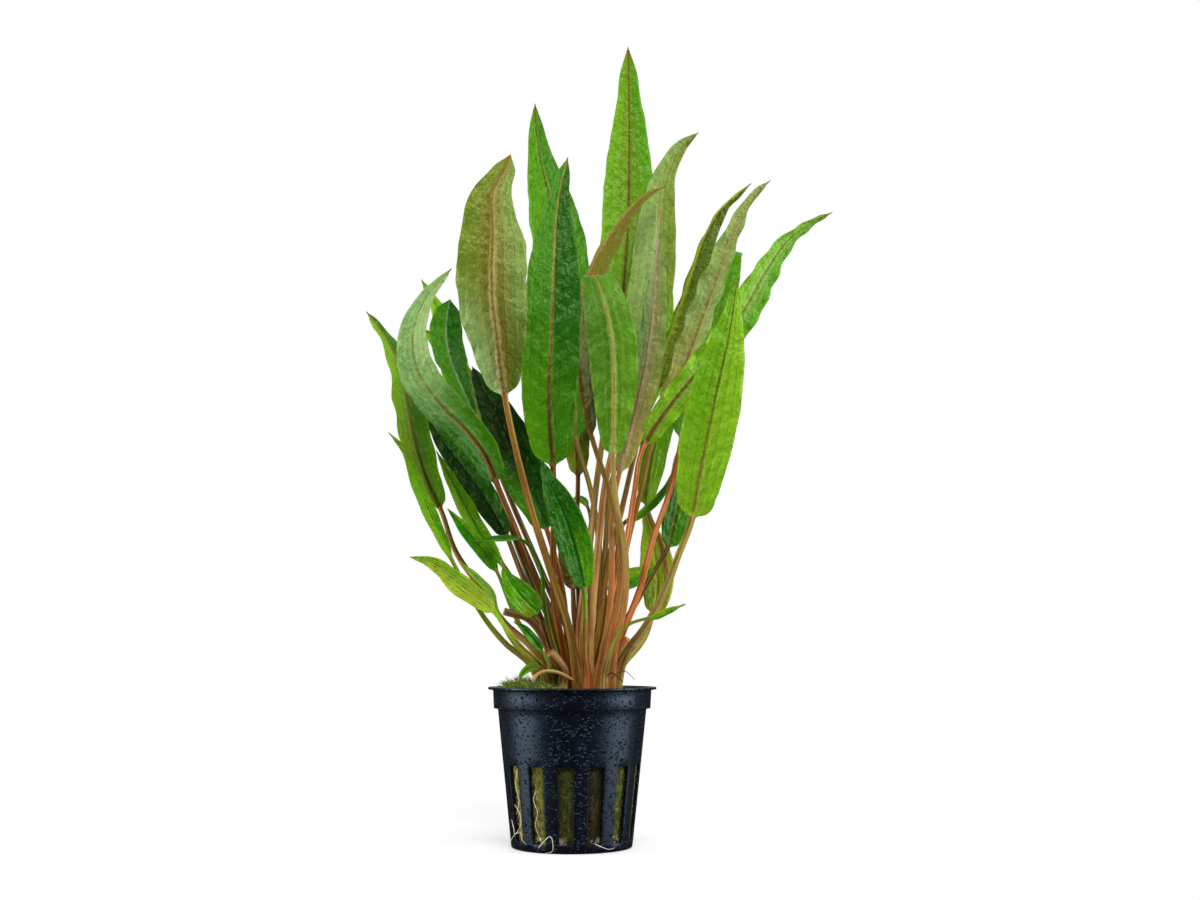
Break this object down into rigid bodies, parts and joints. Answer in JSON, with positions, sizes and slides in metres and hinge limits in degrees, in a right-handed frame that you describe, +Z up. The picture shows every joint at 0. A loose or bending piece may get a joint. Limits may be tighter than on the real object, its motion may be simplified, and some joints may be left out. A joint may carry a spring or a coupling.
{
  "type": "potted cryptocoryne",
  "caption": "Aquarium cryptocoryne with long lance-shaped leaves on red-brown stalks, rooted in rockwool with a patch of moss, in a slotted black pot that stands on its base.",
  "frame": {"origin": "middle of the flat underside of the pot", "axes": "+Z up through the pot's axis, -Y towards the side that the picture shows, +X to its right"},
  "size_m": [0.1481, 0.1004, 0.262],
  "materials": {
    "pot": "satin",
    "rockwool": "matte",
    "rootstock": "matte",
    "moss": "matte",
    "bright_leaf": "gloss",
    "olive_leaf": "gloss",
    "pale_leaf": "gloss",
    "bronze_leaf": "gloss",
    "dark_leaf": "gloss",
    "cut_stalk": "satin",
    "runner": "satin"
  },
  "bodies": {
    "root": {"pot": "pot", "rockwool": "rockwool", "rootstock": "rootstock", "moss": "moss", "leaf_01": "olive_leaf", "leaf_02": "olive_leaf", "leaf_03": "olive_leaf", "leaf_04": "bronze_leaf", "leaf_05": "bright_leaf", "leaf_06": "pale_leaf", "leaf_07": "olive_leaf", "leaf_08": "pale_leaf", "leaf_09": "dark_leaf", "leaf_10": "bright_leaf", "leaf_11": "bright_leaf", "leaf_12": "dark_leaf", "leaf_13": "bright_leaf", "leaf_14": "bright_leaf", "leaf_15": "bright_leaf", "leaf_16": "bright_leaf", "leaf_17": "olive_leaf", "leaf_18": "bright_leaf", "leaf_19": "bright_leaf", "leaf_20": "olive_leaf", "leaf_21": "pale_leaf", "leaf_22": "olive_leaf", "leaf_23": "bright_leaf", "leaf_24": "bright_leaf", "leaf_25": "dark_leaf", "leaf_26": "dark_leaf", "leaf_27": "dark_leaf", "leaf_28": "dark_leaf", "leaf_29": "dark_leaf", "leaf_30": "bright_leaf", "leaf_31": "dark_leaf", "leaf_32": "dark_leaf", "leaf_33": "bright_leaf", "leaf_34": "pale_leaf", "leaf_35": "dark_leaf", "leaf_36": "olive_leaf", "leaf_37": "dark_leaf", "leaf_38": "dark_leaf", "leaf_39": "dark_leaf", "leaf_40": "bright_leaf", "leaf_41": "bright_leaf", "cut_stalk_left": "cut_stalk", "cut_stalk_front": "cut_stalk", "cut_stalk_right": "cut_stalk", "runner": "runner"}
  },
  "joints": []
}
